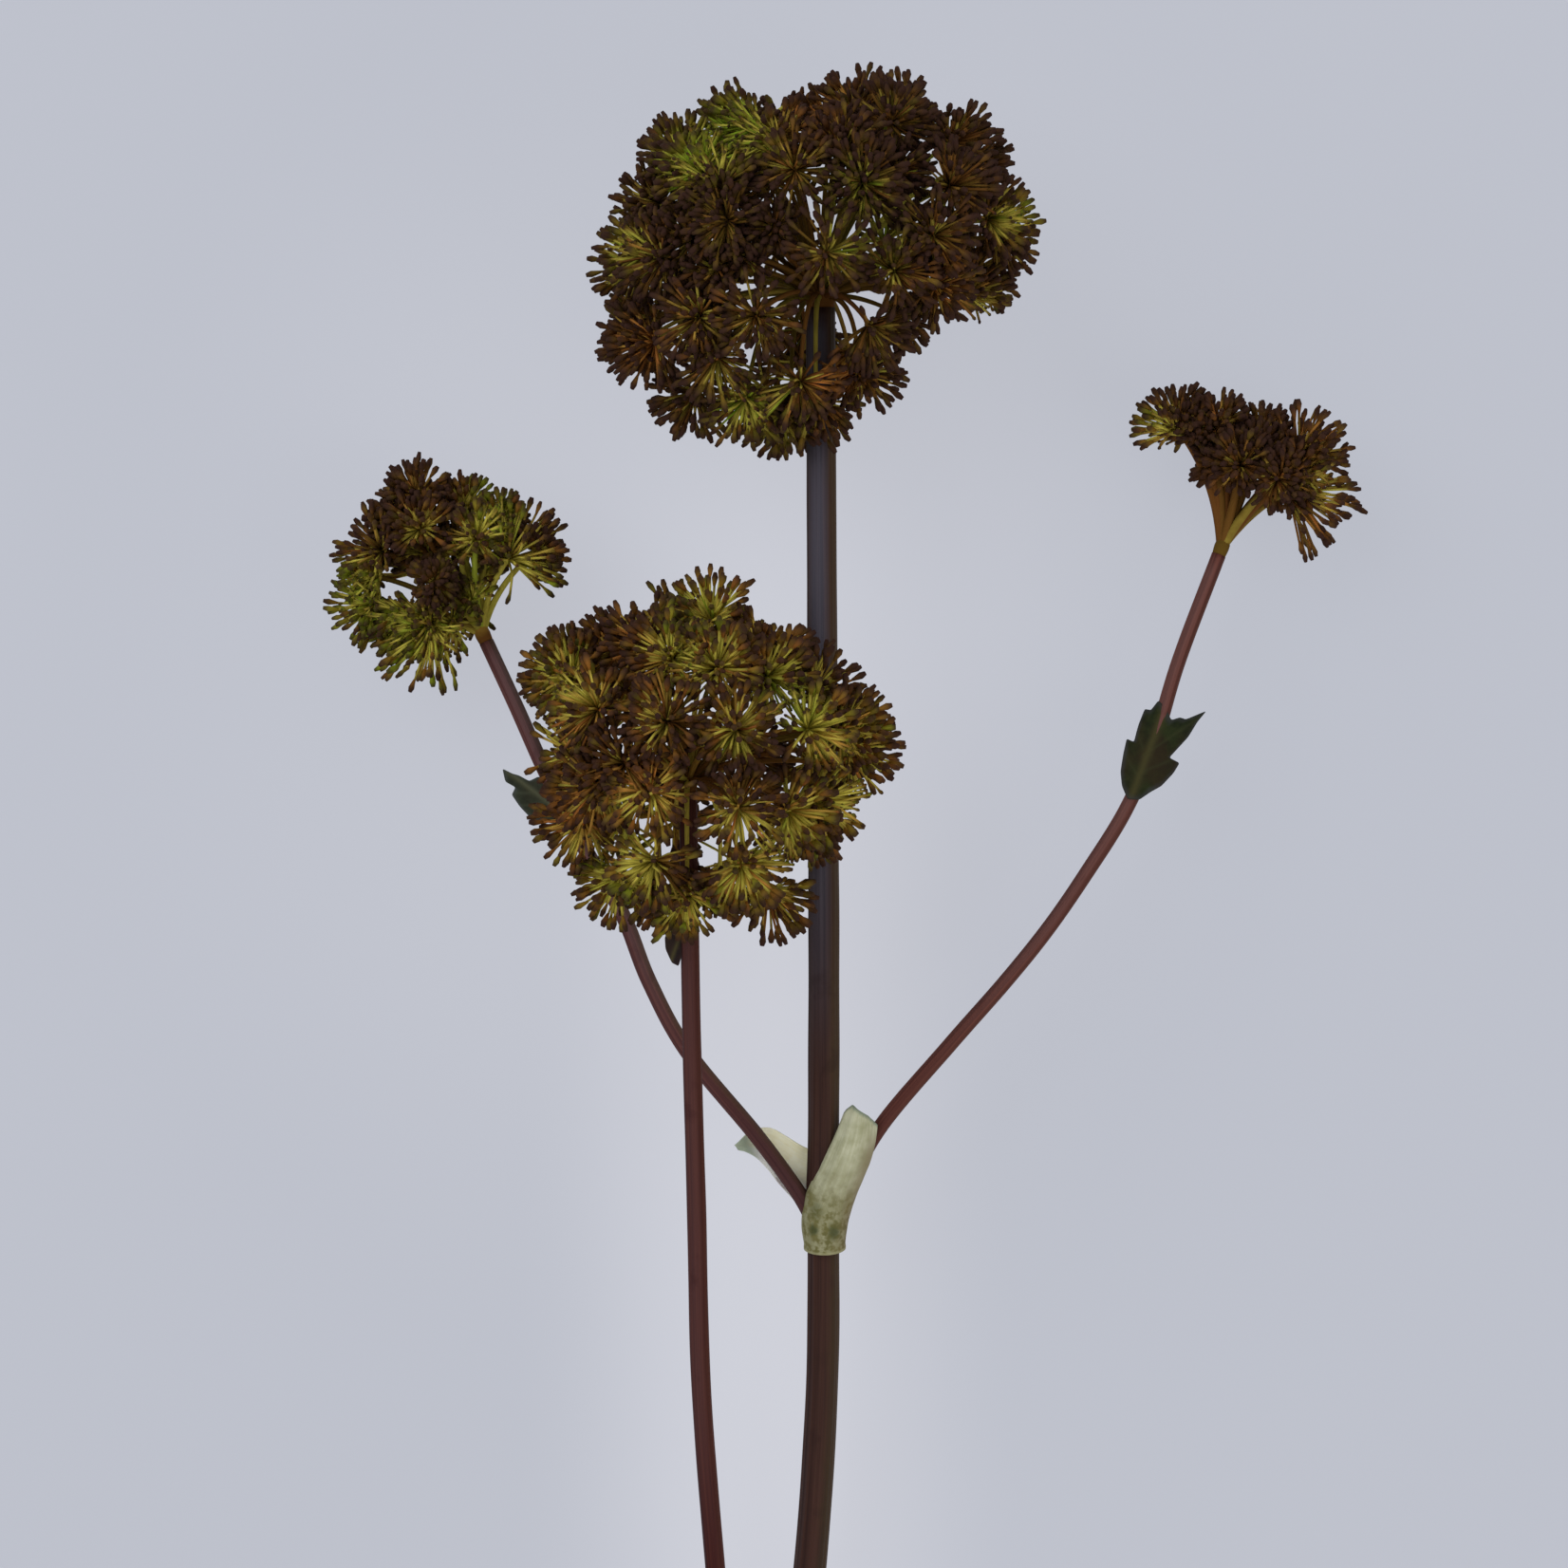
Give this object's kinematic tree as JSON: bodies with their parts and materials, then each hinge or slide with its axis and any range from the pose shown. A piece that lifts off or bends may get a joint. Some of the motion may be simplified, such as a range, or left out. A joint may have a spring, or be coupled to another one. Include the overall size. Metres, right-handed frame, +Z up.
{
  "type": "dried angelica",
  "caption": "Cut stem of dried angelica lying flat: a ribbed main stem with slender side branches, globe-shaped seed heads, a papery sheath and small toothed leaves.",
  "frame": {"origin": "centre of the part's box at the surface it lies on", "axes": "+Y along the stem from its cut end to the top head, +X to the right branch, +Z up from the surface"},
  "size_m": [0.311, 0.6778, 0.1412],
  "materials": {
    "main_stem": "dark brown dried stem, satin, ribbed lengthwise",
    "side_stem": "red-brown dried stem, satin",
    "sheath": "pale sage papery sheath with fine veins",
    "leaf": "dark green dried leaf, matte",
    "seed_head": "dark brown fruits on yellow-green stalks, matte"
  },
  "bodies": {
    "root": {"main_stem": "main_stem", "front_branch": "side_stem", "left_branch": "side_stem", "right_branch": "side_stem", "sheath": "sheath", "sheath_open": "sheath", "leaf_right": "leaf", "leaf_left": "leaf", "bract_front": "leaf", "head_top": "seed_head", "head_front": "seed_head", "head_left": "seed_head", "head_right": "seed_head"}
  },
  "joints": []
}
